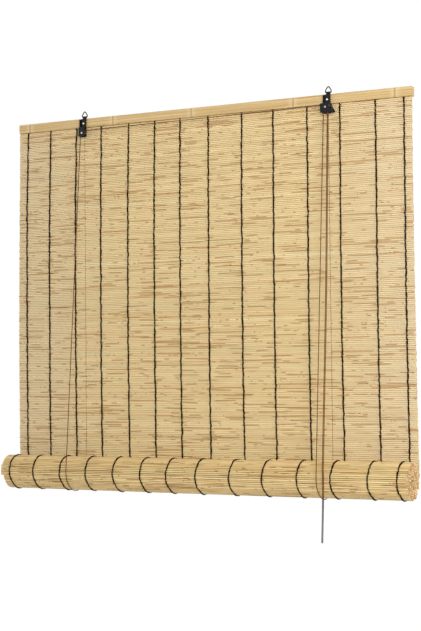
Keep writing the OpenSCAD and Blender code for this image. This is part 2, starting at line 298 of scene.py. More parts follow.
def makeCaneMarks(look):
    # marks that run along a cane: long stains, thin streaks, flecks, painted shade in the seams between
    # canes, and fine fibre
    # Side is -1 to 1 across it, and Seed gives each cane its own marks
    group, given, out = newGroup("caneMarks", ["Along", "Seed", "Side"],
                                 ["Stain", "Streak", "Fleck", "Seam", "Fibre"])
    along, seed, side = (given.outputs[label] for label in ("Along", "Seed", "Side"))
    lane, other = (times(group, seed, step) for step in look["lanes"])

    def run(mark, first, second, detail):
        # first and second keep the noise of one mark apart from another's
        pace, *fade = look[mark]
        noise = grain(group, point(group, times(group, along, pace), first, second), 1.0, detail)
        return between(group, noise, *fade)

    stain = run("stain", lane, other, 2.0)
    streak = work(group, "MAXIMUM", run("longStreak", other, lane, 1.0), run("shortStreak", lane, 21.0, 1.0))
    fleck = run("fleck", lane, 4.0, 0.0)
    seam = run("seam", lane, 9.0, 1.0)
    apart = work(group, "ABSOLUTE", work(group, "SUBTRACT", side, run("wander", lane, 3.0, 0.0)))
    narrow = between(group, apart, *look["streakSide"], 1.0, 0.0)
    # a painted shade falls near both sides of a cane, in the seams between canes
    edge = between(group, work(group, "ABSOLUTE", side), *look["seamSide"])
    x, y, z = objectAxes(group)
    fine = point(group, times(group, x, look["fibreAlong"]), times(group, y, look["fibreAcross"]),
                 times(group, z, look["fibreAcross"]))
    feed(group, out.inputs["Stain"], stain)
    feed(group, out.inputs["Streak"], times(group, streak, narrow))
    feed(group, out.inputs["Fleck"], times(group, fleck, narrow))
    feed(group, out.inputs["Seam"], times(group, seam, edge))
    feed(group, out.inputs["Fibre"], grain(group, fine, 1.0, 2.0))
    return group


caneMarks = makeCaneMarks(caneLook)


def marksOf(tree, along, seed, side):
    return useGroup(tree, caneMarks, {"Along": along, "Seed": seed, "Side": side})


pittingLook = {"speckScale": 1.0, "cloudScale": 0.12}


def makePitting(look):
    # fine unevenness of paint, metal, cords and cut ends, and wider clouds in it
    group, given, out = newGroup("pitting", ["Size"], ["Speck", "Cloud"])
    scaled = group.nodes.new("ShaderNodeVectorMath")
    scaled.operation = "SCALE"
    feed(group, scaled.inputs[0], objectPoint(group))
    feed(group, scaled.inputs["Scale"], work(group, "DIVIDE", 1.0, given.outputs["Size"]))
    feed(group, out.inputs["Speck"], grain(group, scaled.outputs[0], look["speckScale"], 3.0))
    feed(group, out.inputs["Cloud"], grain(group, scaled.outputs[0], look["cloudScale"], 2.0))
    return group


pitting = makePitting(pittingLook)


def specks(tree, size):
    return useGroup(tree, pitting, {"Size": size})


reedLook = {"paleFrom": (0.25, 0.6), "fibre": (0.3, 0.7, 0.0, 0.22), "rough": (0.2, 0.8, 0.5, 0.72),
            "grain": 0.2 * mm}


def reedFinish(name, canes, pale, marks):
    # pale is the strength and tone of the reeds' outer ends; each mark has its strength and tone too
    finish, tree, shader = newFinish(name)
    x = objectAxes(tree)[0]
    found = marksOf(tree, x, own(tree, "reedSeed"), own(tree, "reedSide"))
    colour = ramp(tree, own(tree, "reedTone"), canes)
    outer = between(tree, work(tree, "ABSOLUTE", x), *reedLook["paleFrom"], 0.0, pale[0])
    colour = mixed(tree, outer, colour, pale[1])
    for mark, (strength, markTone) in marks.items():
        colour = mixed(tree, times(tree, found[mark], strength), colour, markTone)
    colour = mixed(tree, between(tree, found["Fibre"], *reedLook["fibre"]), colour, marks["Stain"][1])
    feed(tree, shader.inputs["Base Color"], colour)
    feed(tree, shader.inputs["Roughness"], between(tree, found["Fibre"], *reedLook["rough"]))
    feed(tree, shader.inputs["Normal"], bump(tree, found["Fibre"], reedLook["grain"]))
    return finish


# the seam tones below are painted shade between the reeds; the other marks are the reeds' own colour
matReed = reedFinish(
    "matReed",
    [(0.0, tone(222, 196, 143)), (0.3, tone(231, 208, 155)), (0.6, tone(236, 215, 164)),
     (0.85, tone(225, 206, 153)), (1.0, tone(241, 222, 175))],
    (0.6, tone(222, 205, 172)),
    {"Stain": (0.3, tone(224, 190, 138)), "Streak": (0.95, tone(176, 132, 78)),
     "Fleck": (0.7, tone(120, 84, 44)), "Seam": (0.6, tone(146, 114, 72))})
rollReed = reedFinish(
    "rollReed",
    [(0.0, tone(210, 179, 120)), (0.3, tone(229, 204, 144)), (0.6, tone(240, 217, 161)),
     (0.85, tone(220, 198, 138)), (1.0, tone(250, 230, 180))],
    (0.0, tone(240, 217, 161)),
    {"Stain": (0.4, tone(222, 180, 120)), "Streak": (0.95, tone(168, 124, 68)),
     "Fleck": (0.7, tone(112, 78, 42)), "Seam": (0.9, tone(88, 62, 34))})

cutLook = {"rough": 0.8, "size": 1.2 * mm, "pits": (0.5, 0.3, 0.0, 0.4), "grain": 0.2 * mm}


def cutFinish(name, canes, dark):
    # sawn ends of the reeds, paler and pinker than their skin, and the pith inside them
    finish, tree, shader = newFinish(name, cutLook["rough"])
    speck = specks(tree, cutLook["size"])["Speck"]
    colour = ramp(tree, own(tree, "reedTone"), canes)
    # low specks take the dark tone, a painted shade in the small pits of the cut
    colour = mixed(tree, between(tree, speck, *cutLook["pits"]), colour, dark)
    feed(tree, shader.inputs["Base Color"], colour)
    feed(tree, shader.inputs["Normal"], bump(tree, speck, cutLook["grain"]))
    return finish


reedCut = cutFinish(
    "reedCut",
    [(0.0, tone(226, 170, 116)), (0.35, tone(255, 212, 158)), (0.7, tone(255, 228, 182)),
     (1.0, tone(242, 188, 132))],
    tone(206, 150, 100))
# the pith's darker tones are partly its own colour and partly a painted shade of the hollow
reedPith = cutFinish(
    "reedPith",
    [(0.3, tone(104, 60, 30)), (0.5, tone(206, 146, 92)), (1.0, tone(252, 208, 156))],
    tone(100, 58, 30))

# joints are at these x; ring and halo are how far from a joint they end
bambooLook = {"joints": [-0.5628, -0.2832, -0.0336, 0.2712, 0.5544], "seed": 0.37, "bandAlong": 2.2,
              "bandAcross": 420.0, "bands": [(0.36, tone(186, 150, 92)), (0.5, tone(208, 178, 122)),
                                             (0.64, tone(222, 197, 146))],
              "fibre": (0.35, 0.7, 0.0, 0.25), "fibreTone": tone(178, 136, 80), "grain": 0.15 * mm,
              "ring": (1.2 * mm, 3.5 * mm), "ringShare": 0.55, "ringTone": tone(150, 108, 62),
              "halo": (3 * mm, 20 * mm), "haloShare": 0.35, "haloTone": tone(232, 210, 164),
              "rough": (0.3, 0.7, 0.34, 0.5)}


def bambooFinish(name, look):
    finish, tree, shader = newFinish(name)
    x, y, z = objectAxes(tree)
    fibre = marksOf(tree, x, look["seed"], 0.0)["Fibre"]
    spot = point(tree, times(tree, x, look["bandAlong"]), y, times(tree, z, look["bandAcross"]))
    bands = grain(tree, spot, 1.0, 3.0)
    colour = ramp(tree, bands, look["bands"])
    colour = mixed(tree, between(tree, fibre, *look["fibre"]), colour, look["fibreTone"])
    joint = 1.0
    for jointX in look["joints"]:
        joint = work(tree, "MINIMUM", work(tree, "ABSOLUTE", work(tree, "SUBTRACT", x, jointX)), joint)
    for band in ("halo", "ring"):
        near = between(tree, joint, *look[band], 1.0, 0.0)
        colour = mixed(tree, times(tree, near, look[band + "Share"]), colour, look[band + "Tone"])
    feed(tree, shader.inputs["Base Color"], colour)
    feed(tree, shader.inputs["Roughness"], between(tree, bands, *look["rough"]))
    feed(tree, shader.inputs["Normal"], bump(tree, fibre, look["grain"]))
    return finish


bambooStrip = bambooFinish("bambooStrip", bambooLook)


metalLook = {"paintGloss": 0.25, "bareGloss": 0.5, "clouds": (0.35, 0.65), "specks": (0.3, 0.7)}


def metalFinish(name, dark, light, metallic, rough, size, depth):
    # size and depth are those of its fine unevenness
    finish, tree, shader = newFinish(name)
    found = specks(tree, size)
    shader.inputs["Metallic"].default_value = metallic
    shader.inputs["Specular IOR Level"].default_value = metalLook["bareGloss" if metallic else "paintGloss"]
    colour = ramp(tree, found["Cloud"], list(zip(metalLook["clouds"], (dark, light))))
    feed(tree, shader.inputs["Base Color"], colour)
    feed(tree, shader.inputs["Roughness"], between(tree, found["Speck"], *metalLook["specks"], *rough))
    feed(tree, shader.inputs["Normal"], bump(tree, found["Speck"], depth))
    return finish


blackSteel = metalFinish("blackSteel", tone(10, 9, 9), tone(19, 17, 16), 0.0, (0.34, 0.5),
                         0.9 * mm, 0.06 * mm)
brightSteel = metalFinish("brightSteel", tone(188, 188, 186), tone(222, 222, 220), 1.0, (0.16, 0.3),
                          0.6 * mm, 0.02 * mm)
dullSteel = metalFinish("dullSteel", tone(96, 95, 93), tone(136, 134, 130), 1.0, (0.3, 0.46),
                        0.6 * mm, 0.03 * mm)

fuzz = {"size": 0.7 * mm, "dark": (0.45, 0.75, 0.0, 0.4), "depth": 0.12 * mm}


def cordFinish(name, dark, light, roughness, gloss):
    finish, tree, shader = newFinish(name, roughness)
    shader.inputs["Specular IOR Level"].default_value = gloss
    speck = specks(tree, fuzz["size"])["Speck"]
    # the colour runs from the dark tone, a painted shade in the grooves between the plies, to the light tone
    # on their crowns
    colour = mixed(tree, between(tree, own(tree, "plyDepth"), 0.0, 1.0), dark, light)
    colour = mixed(tree, between(tree, speck, *fuzz["dark"]), colour, dark)
    feed(tree, shader.inputs["Base Color"], colour)
    feed(tree, shader.inputs["Normal"], bump(tree, speck, fuzz["depth"]))
    return finish


liftTwist = cordFinish("liftTwist", tone(46, 26, 13), tone(146, 94, 56), 0.8, 0.08)
warpTwine = cordFinish("warpTwine", tone(22, 13, 3), tone(48, 32, 10), 0.9, 0.03)
print("finishes made")


# helpers for pieces

def deselectAll():
    if bpy.context.mode != "OBJECT":
        bpy.ops.object.mode_set(mode="OBJECT")
    bpy.ops.object.select_all(action="DESELECT")


def giveValues(mesh, label, numbers):
    mesh.attributes.new(label, "FLOAT", "POINT").data.foreach_set("value", np.asarray(numbers, np.float32))


def meshPiece(name, points, faces, finish, values=None):
    mesh = bpy.data.meshes.new(name)
    mesh.from_pydata([tuple(p) for p in points], [], faces)
    for label, numbers in (values or {}).items():
        giveValues(mesh, label, numbers)
    mesh.materials.append(finish)
    mesh.polygons.foreach_set("use_smooth", [True] * len(mesh.polygons))
    piece = bpy.data.objects.new(name, mesh)
    scene.collection.objects.link(piece)
    return piece


facing = 0.9  # how near to an axis the normal of a face has to be


def selectFacing(piece, test):
    # in edit mode, selects the faces whose normal passes the test, and no others
    bpy.ops.mesh.select_mode(type="FACE")
    bpy.ops.mesh.select_all(action="DESELECT")
    cage = bmesh.from_edit_mesh(piece.data)
    for face in cage.faces:
        face.select_set(test(face.normal))
    bmesh.update_edit_mesh(piece.data)


def sweep(route, section, across):
    # points and faces of a skin round a route
    # section gives each ring's (right, up) offsets; across is never along the route
    route = np.asarray(route, float)
    lead = np.gradient(route, axis=0)
    lead /= np.linalg.norm(lead, axis=1)[:, None]
    right = np.cross(lead, np.asarray(across, float))
    right /= np.linalg.norm(right, axis=1)[:, None]
    up = np.cross(right, lead)
    rings = route[:, None, :] + section[..., 0:1] * right[:, None, :] + section[..., 1:2] * up[:, None, :]
    count, sides = section.shape[:2]
    faces = []
    for i in range(count - 1):
        for k in range(sides):
            a, b = i * sides + k, i * sides + (k + 1) % sides
            faces.append((a, a + sides, b + sides, b))
    faces.append(tuple(range(sides)))
    faces.append(tuple((count - 1) * sides + k for k in reversed(range(sides))))
    return rings.reshape(-1, 3), faces


def straight(start, end, step):
    start, end = np.asarray(start, float), np.asarray(end, float)
    count = max(2, int(np.linalg.norm(end - start) / step) + 1)
    return start + np.linspace(0, 1, count)[:, None] * (end - start)


def arc(centre, radius, first, last, x=None, y=None, step=0.8 * mm):
    # an arc in the upright plane at x (seen from the side) or at y (seen from the front), in degrees
    count = max(4, int(abs(math.radians(last - first)) * radius / step) + 1)
    turn = np.radians(np.linspace(first, last, count))
    flat, up = centre[0] + radius * np.cos(turn), centre[1] + radius * np.sin(turn)
    if x is not None:
        return np.stack([np.full(count, x), flat, up], 1)
    return np.stack([flat, np.full(count, y), up], 1)


def smoothRoute(points, step):
    # an even smooth line through given points
    points = np.asarray(points, float)
    padded = np.vstack([2 * points[0] - points[1], points, 2 * points[-1] - points[-2]])
    line = [points[0]]
    for a, b, c, d in zip(padded, padded[1:], padded[2:], padded[3:]):
        count = max(2, int(np.linalg.norm(c - b) / step))
        t = np.linspace(0, 1, count + 1)[1:, None]
        bend = (c - a) * np.linalg.norm(c - b) / np.linalg.norm(c - a)
        ease = (d - b) * np.linalg.norm(c - b) / np.linalg.norm(d - b)
        line.append((2 * t**3 - 3 * t**2 + 1) * b + (t**3 - 2 * t**2 + t) * bend + (3 * t**2 - 2 * t**3) * c
                    + (t**3 - t**2) * ease)
    return np.vstack(line)


# lift cords, cross cord and pull cords

liftCord = {"thickness": 2.6 * mm, "plies": 2, "lay": 9 * mm, "sides": 8, "step": 1.0 * mm, "flute": 0.3,
            "pressed": 0.5 * mm, "pathEvery": 8}


def twistedCord(name, route, across, fade=((0, 1),), cord=liftCord):
    # fade has pairs: so many metres along the cord, so much of the light tone shows
    route = np.asarray(route, float)
    walked = np.concatenate([[0], np.cumsum(np.linalg.norm(np.diff(route, axis=0), axis=1))])
    around = np.linspace(0, 2 * math.pi, cord["sides"], endpoint=False)
    twist = 2 * math.pi * walked[:, None] / cord["lay"]
    lobe = 0.5 - 0.5 * np.cos(cord["plies"] * (around[None, :] - twist))
    reach = cord["thickness"] / 2 * (1 - cord["flute"] * lobe)
    section = np.stack([reach * np.cos(around), reach * np.sin(around)], 2)
    points, faces = sweep(route, section, across)
    # light is the share of the light tone: nil in the grooves between the plies, which take the dark tone as
    # a painted shade, and lower where the fade says
    light = np.interp(walked, *zip(*fade))[:, None] * (1 - lobe)
    piece = meshPiece(name, points, faces, liftTwist, {"plyDepth": light.ravel()})
    return piece, float(walked[-1])


rollAxis = np.array(joints["roll_turn"]["pos_m"])[1:]
rollRadius = float(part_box("reed_roll")[1][1] - rollAxis[0])
slingRadius = rollRadius - liftCord["pressed"] + liftCord["thickness"] / 2  # a little into the reeds
# how far to the right a cord is at the roll's front and back, and a back run at its tie
liftLean = {"left": (3.5 * mm, 9.5 * mm), "right": (2.4 * mm, 9.6 * mm)}
tieAside = {"left": 0.0, "right": 2.2 * mm}


def middle(node):
    low, high = np.array(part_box(node))
    return (low + high) / 2


leftSheave = middle("left_sheave")
nearSheave = middle("right_rear_sheave")  # nearer to the mat
farSheave = middle("right_front_sheave")
sheavePitch = leftSheave[0] - middle("left_lift_front")[0]
tieTop = np.array([middle("back_batten")[1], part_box("left_lift_back")[1][2]])


def meetAngle(start, side):
    # where a straight cord from (y, z) touches the sling's circle: side 1 in front, -1 behind
    off = np.asarray(start) - rollAxis
    return math.degrees(math.atan2(off[1], off[0]) + side * math.acos(slingRadius / np.linalg.norm(off)))


def onSling(x, angle):
    turn = math.radians(angle)
    y, z = rollAxis + slingRadius * np.array([math.cos(turn), math.sin(turn)])
    return np.array([x, y, z])


def squashed(piece, clear=0.0):
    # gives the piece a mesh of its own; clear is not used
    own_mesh(piece)


def liftCords(side, sheave):
    # front run, sling and back run; gives their length
    x = sheave[0] - sheavePitch
    front = meetAngle(sheave[1:], 1)
    back = meetAngle(tieTop, -1)
    step = liftCord["step"]
    top = np.array([x, sheave[1], sheave[2]])
    atFront, atBack = (x + lean for lean in liftLean[side])
    run, runLength = twistedCord(side + "LiftFront", straight(top, onSling(atFront, front), step), (1, 0, 0))
    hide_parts(side + "_lift_front")
    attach(run, "headrail")
    squashed(run)
    under = arc(rollAxis, slingRadius, front, back + 360, x=x)
    under[:, 0] = np.linspace(atFront, atBack, len(under))
    sling, slingLength = twistedCord(side + "LiftSling", under, (1, 0, 0))
    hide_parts(side + "_lift_sling")
    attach(sling, "slings")
    tie = np.array([x + tieAside[side], *tieTop])
    rear, rearLength = twistedCord(side + "LiftBack", straight(tie, onSling(atBack, back), step), (1, 0, 0))
    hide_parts(side + "_lift_back")
    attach(rear, "headrail")
    squashed(rear)
    return runLength + slingLength + rearLength


def crossCords():
    # from the left pulley to the right rear one, and over the right front one
    centreLeft, centreNear, centreFar = (s[[0, 2]] for s in (leftSheave, nearSheave, farSheave))
    over = arc(centreLeft, sheavePitch, 180, 90, y=leftSheave[1])
    away = arc(centreNear, sheavePitch, 90, 0, y=nearSheave[1])
    route = np.vstack([over, straight(over[-1], away[0], liftCord["step"])[1:-1], away])
    cross, crossLength = twistedCord("crossCord", route, (0, 1, 0))
    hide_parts("cross_cord")
    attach(cross, "headrail")
    turnOver = arc(centreFar, sheavePitch, 180, 0, y=farSheave[1])
    bend, bendLength = twistedCord("rightCordBend", turnOver, (0, 1, 0))
    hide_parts("right_cord_bend")
    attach(bend, "headrail")
    return crossLength, bendLength


leftLength, rightLength = liftCords("left", leftSheave), liftCords("right", farSheave)
crossLength, bendLength = crossCords()
print("lift cords to the pull cords, left", round(leftLength + crossLength, 3), "m, right",
      round(rightLength + bendLength, 3), "m")

# routes of the pull cords in mm: lead is from the pulley's side, top and end are across from the right axle,
# out from the roll's front and up from its axis; the front cord hangs apart to the left of the rear one, by
# leadShare of that at its lead, and frontShare of it further to the front
pullCord = {"lead": (-1, -3.6, -30.5), "top": [(13.7, 39.3, 480), (16.6, 0.2, 30), (17, 0, 8)],
            "end": [(17, 0, 8), (16.8, 0, -45), (15.2, 0, -105), (13.8, 0, -157)],
            "apart": 2.4, "leadShare": 0.1, "frontShare": 0.5, "off": 2.2 * mm,
            "fade": ((0, 1), (0.045, 0.9), (0.065, 0.1), (0.1, 0))}


def pullPoint(offset, aside):
    across, out, up = (v * mm for v in offset)
    front = rollAxis[0] - rollRadius - pullCord["off"]
    return (nearSheave[0] + across - aside * mm, front + out - aside * pullCord["frontShare"] * mm,
            rollAxis[1] + up)


def pullCords():
    step = liftCord["step"]
    for which, sheave, aside in (("Rear", nearSheave, 0), ("Front", farSheave, pullCord["apart"])):
        start = np.array([sheave[0] + sheavePitch, sheave[1], sheave[2]])
        lead = start + np.array(pullCord["lead"]) * mm - np.array([pullCord["leadShare"] * aside * mm, 0, 0])
        route = smoothRoute([start, lead] + [pullPoint(p, aside) for p in pullCord["top"]], step)
        upper, length = twistedCord("pullCord" + which, route, (1, 0, 0))
        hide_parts("pull_cord_" + which.lower())
        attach(upper, "headrail")
        squashed(upper)
        route = smoothRoute([pullPoint(p, aside) for p in pullCord["end"]], step)
        tail, tailLength = twistedCord("pullEnd" + which, route, (1, 0, 0), pullCord["fade"])
        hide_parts("pull_end_" + which.lower())
        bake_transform(tail)
        print("pull cord", which, round(length + tailLength, 3), "m")


pullCords()
print("cords made")


# reeds

reedShape = {"sides": 8, "cuts": 5, "rim": 0.8 * mm, "taper": 0.15 * mm, "pith": 3 * mm,
             "thickness": 5.15 * mm, "inside": 0.45, "sharp": 50, "waves": 3, "pace": (4, 16),
             "phase": (0, 6.3)}


def modelReed(name, length, cuts, finish, rings=(), shape=reedShape):
    # one straight reed along X with a hollow at both cut ends, and more edges round it at the given rings
    deselectAll()
    bpy.ops.mesh.primitive_cylinder_add(vertices=shape["sides"], radius=shape["thickness"] / 2, depth=length,
                                        rotation=(0, math.pi / 2, 0))
    reed = bpy.context.object
    reed.name = name
    bpy.ops.object.transform_apply(location=True, rotation=True, scale=True)
    bpy.ops.object.mode_set(mode="EDIT")
    selectFacing(reed, lambda normal: abs(normal.x) > facing)
    bpy.ops.mesh.inset(thickness=shape["rim"], use_individual=True)
    bpy.ops.mesh.inset(thickness=shape["taper"], depth=-shape["pith"], use_individual=True)
    cage = bmesh.from_edit_mesh(reed.data)
    for face in cage.faces:  # 0 is the skin, 1 the cut rim and 2 the pith
        reach = max(math.hypot(v.co.y, v.co.z) for v in face.verts)
        within = reach < shape["thickness"] * shape["inside"]
        face.material_index = 2 if within else int(abs(face.normal.x) > facing)
    bmesh.update_edit_mesh(reed.data)
    bpy.ops.mesh.select_mode(type="EDGE")
    bpy.ops.mesh.select_all(action="DESELECT")
    if cuts:
        cage = bmesh.from_edit_mesh(reed.data)
        for edge in cage.edges:  # the long edges
            edge.select_set(edge.calc_length() > length * 0.9)
        bmesh.update_edit_mesh(reed.data)
        bpy.ops.mesh.subdivide(number_cuts=cuts)
    for x in rings:
        bpy.ops.mesh.select_all(action="SELECT")
        bpy.ops.mesh.bisect(plane_co=(x, 0, 0), plane_no=(1, 0, 0))
    bpy.ops.object.mode_set(mode="OBJECT")
    bpy.ops.object.shade_smooth_by_angle(angle=math.radians(shape["sharp"]))
    for layer in (finish, reedCut, reedPith):
        reed.data.materials.append(layer)
    return reed


def coordsOf(mesh):
    flat = np.empty(len(mesh.vertices) * 3)
    mesh.vertices.foreach_get("co", flat)
    return flat.reshape(-1, 3)


def copyReed(master, shapeIt, toneValue, beside):
    # a copy of a reed with its own shape, tone and seed; beside points (in y and z) to the next reed
    mesh = master.data.copy()
    rest = coordsOf(mesh)
    half = np.abs(rest[:, 0]).max()
    side = (rest[:, 1] * beside[0] + rest[:, 2] * beside[1]) / (reedShape["thickness"] / 2)
    mesh.vertices.foreach_set("co", shapeIt(rest, half).ravel())
    seed = random.random()
    for label, value in (("reedTone", toneValue), ("reedSeed", seed)):
        giveValues(mesh, label, np.full(len(rest), value))
    giveValues(mesh, "reedSide", side)
    copy = bpy.data.objects.new("reed", mesh)
    scene.collection.objects.link(copy)
    return copy


def joined(name, copies):
    deselectAll()
    for copy in copies:
        copy.select_set(True)
    bpy.context.view_layer.objects.active = copies[0]
    bpy.ops.object.join()
    piece = bpy.context.object
    piece.name = name
    piece.data.name = name
    return piece


def wander(x, size, shape=reedShape):
    # a slow sideways drift along a reed
    drift = np.zeros_like(x)
    for i in range(shape["waves"]):  # each weighs a little more than the last
        wave = np.sin(x * random.uniform(*shape["pace"]) + random.uniform(*shape["phase"]))
        drift += math.sin(0.3 * i + 1) * wave * size / shape["waves"]
    return drift


matLow, matHigh = np.array(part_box("reed_sheet"))
blindWidth = float(matHigh[0] - matLow[0])
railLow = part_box("front_batten")[0][2]
reedPitch = 5 * mm
matReeds = round((matHigh[2] - matLow[2]) / reedPitch)
clampedReeds = 5  # reeds held between the two battens

# lean, and spread at both sides, are how far the foot of the mat is from its head's lines
matShape = {"drift": 0.22 * mm, "bow": 0.25 * mm, "sizes": (0.97, 1.03), "uneven": 0.04, "flat": 0.94,
            "endJitter": 0.9 * mm, "shift": -3.2 * mm, "lean": 7 * mm, "leanFrom": -0.3,
            "spread": 2.6 * mm, "spreadFrom": (-0.15, -0.6), "clear": 24 * mm}

# gaps between the reeds where the back runs of the lift cords show through
# rings are edges round the reed, in reaches from a gap, and those nearer than still move with it
peek = {"reach": 1.5 * mm, "rings": (-1.8, -1, 0, 1, 1.8), "still": 2, "gaps": (0.6, 1.0), "waist": 0.75}
matY = middle("reed_sheet")[1]
backRuns = [(middle(side + "_lift_back")[0] + tieAside[side], liftLean[side][1] - tieAside[side])
            for side in ("left", "right")]


def peekPlaces(z):
    # where the camera sees each back run through the mat at height z
    eyeX, eyeY = cameraView["place"][:2]
    share = np.clip((tieTop[1] - z) / (tieTop[1] - rollAxis[1]), 0, 1)
    nearer = (matY - eyeY) / (tieTop[0] + (rollAxis[0] + slingRadius - tieTop[0]) * share - eyeY)
    return [eyeX + (x + lean * share - eyeX) * nearer for x, lean in backRuns]


def leanAt(z):
    # the foot of the mat hangs a little to the right of its head
    share = np.clip((matShape["leanFrom"] - z) / (matShape["leanFrom"] - matLow[2]), 0, 1)
    return matShape["lean"] * share**2


def hangingReed(rest, half, z):
    x = rest[:, 0]
    thick = random.uniform(*matShape["sizes"]) * (1 + wander(x, matShape["uneven"]))
    left, right = (random.uniform(-1, 1) * matShape["endJitter"] for side in range(2))
    first, last = matShape["spreadFrom"]
    spread = matShape["spread"] * float(np.interp(-z, (-first, -last), (0, 1)))
    stretched = x + np.where(x < 0, left, right) * np.abs(x) / half + matShape["shift"] + leanAt(z)
    stretched += spread * (x / half) ** 3
    gap = random.uniform(*peek["gaps"])
    high, deep = thick.copy(), rest[:, 1] * thick * matShape["flat"]
    for spot, seen in zip(peekPlaces(0), peekPlaces(z)):
        notch = gap * np.clip(1 - np.abs(x - spot) / peek["reach"], 0, 1)
        high *= 1 - notch
        deep *= 1 - peek["waist"] * notch
        stretched = np.where(np.abs(x - spot) < peek["still"] * peek["reach"], x - spot + seen, stretched)
    return np.stack([stretched, matY + deep + wander(x, matShape["bow"]),
                     z + rest[:, 2] * high + wander(x, matShape["drift"])], 1)


def makeMat():
    rings = [spot + peek["reach"] * k for spot in peekPlaces(0) for k in peek["rings"]]
    master = modelReed("masterReed", blindWidth, reedShape["cuts"], matReed, rings)
    copies = []
    for i in range(matReeds):
        z = matHigh[2] - reedPitch * (i + 0.5)
        toneValue = random.random()
        copies.append(copyReed(master, lambda rest, half: hangingReed(rest, half, z), toneValue, (0, 1)))
    held = joined("clampedReeds", copies[:clampedReeds])
    hung = joined("hangingReeds", copies[clampedReeds:])
    for piece in (held, hung):
        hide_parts("reed_sheet")
        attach(piece, "headrail")
    squashed(hung, matShape["clear"])
    bpy.data.objects.remove(master)


makeMat()
print("hanging mat made,", matReeds, "reeds")

# fullTurn and stepFrom are degrees down the spiral, and heart has places in mm from the axis
rollShape = {"under": 2.4 * mm, "turnPitch": 5.55 * mm, "core": 12 * mm, "fullTurn": 420, "stub": 30 * mm,
             "leftJitter": 1.2 * mm, "rightJitter": 1.8 * mm, "stepFrom": 165, "underLeft": 2.5 * mm,
             "overLeft": -6 * mm, "shift": 3.2 * mm, "rightShift": 1.5 * mm, "sizes": (0.84, 0.98),
             "uneven": 0.05, "drift": 0.2 * mm, "slim": 0.9, "swellFrom": 0.15, "swell": 0.04,
             "raise": 3 * mm,
             "heart": [(-4.7, 5.5), (0, 5.6), (4.7, 5.5), (-4.7, -5.5), (0, -5.6), (4.7, -5.5)]}
turnRadius = rollRadius - rollShape["under"]


def rolledAngles():
    # degrees of each reed down the spiral, from the back, under the roll and inward
    angle, places = 0.0, []
    while True:
        radius = turnRadius - rollShape["turnPitch"] * angle / 360
        if radius < rollShape["core"]:
            return places
        half = math.degrees(reedPitch / radius) / 2
        places.append(angle + half)
        angle += 2 * half


def onSpiral(angle):
    radius = turnRadius - rollShape["turnPitch"] * angle / 360
    turn = math.radians(angle)
    return rollAxis[0] + radius * math.cos(turn), rollAxis[1] - radius * math.sin(turn)


def swollen(x, places):
    # towards its right end the roll is a little thicker and lies higher; places are (y, z)
    share = np.clip((x - rollShape["swellFrom"]) / (blindWidth / 2 - rollShape["swellFrom"]), 0, 1)
    share = np.reshape(share, (-1, 1))
    return rollAxis + (places - rollAxis) * (1 + rollShape["swell"] * share) + share * [0, rollShape["raise"]]


def rolledReed(rest, half, spot, leftEnd, rightEnd, slim=1.0):
    x = rest[:, 0]
    thick = slim * random.uniform(*rollShape["sizes"]) * (1 + wander(x, rollShape["uneven"]))
    share = (x / half + 1) / 2
    along = leftEnd + (rightEnd - leftEnd) * share
    around = np.stack([spot[0] + rest[:, 1] * thick + wander(x, rollShape["drift"]),
                       spot[1] + rest[:, 2] * thick + wander(x, rollShape["drift"])], 1)
    return np.column_stack([along, swollen(along, around)])


def rollEnds():
    left = -blindWidth / 2 + rollShape["shift"] + random.uniform(-1, 1) * rollShape["leftJitter"]
    right = blindWidth / 2 + rollShape["shift"] + rollShape["rightShift"]
    return left, right + random.uniform(-1, 1) * rollShape["rightJitter"]


def stubPair(master, spot, ends, beside):
    # inside the roll only the two ends of a reed show
    toneValue = random.random()
    for near, far in ((ends[0], ends[0] + rollShape["stub"]), (ends[1] - rollShape["stub"], ends[1])):
        yield copyReed(master, lambda rest, half: rolledReed(rest, half, spot, near, far, rollShape["slim"]),
                       toneValue, beside)


def makeRoll():
    longMaster = modelReed("masterRolled", blindWidth, reedShape["cuts"], rollReed)
    stubMaster = modelReed("masterStub", rollShape["stub"], 0, rollReed)
    copies = []
    for angle in rolledAngles():
        left, right = rollEnds()
        spot = onSpiral(angle)
        beside = (math.sin(math.radians(angle)), math.cos(math.radians(angle)))
        if angle < 360:
            left += rollShape["underLeft"] if angle < rollShape["stepFrom"] else rollShape["overLeft"]
        if angle < rollShape["fullTurn"]:
            copies.append(copyReed(longMaster, lambda rest, half: rolledReed(rest, half, spot, left, right),
                                   random.random(), beside))
        else:
            copies += stubPair(stubMaster, spot, (left, right), beside)
    for y, z in rollShape["heart"]:  # the mat's first reeds, beside the foot batten
        copies += stubPair(stubMaster, (rollAxis[0] + y * mm, rollAxis[1] + z * mm), rollEnds(), (0, 1))
    roll = joined("rolledReeds", copies)
    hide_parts("reed_roll")
    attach(roll, "roll")
    bpy.data.objects.remove(longMaster)
    bpy.data.objects.remove(stubMaster)
    return len(copies)


# so many turns lie over it, and it is so many stubs shorter than the blind; its side value of 1 puts the
# painted seam shade all over it
heartShape = {"sides": 48, "turns": 1.5, "stubs": 1.5, "rim": 6 * mm, "hollow": 4 * mm,
              "values": {"reedTone": 0.1, "reedSeed": 0.5, "reedSide": 1.0}}


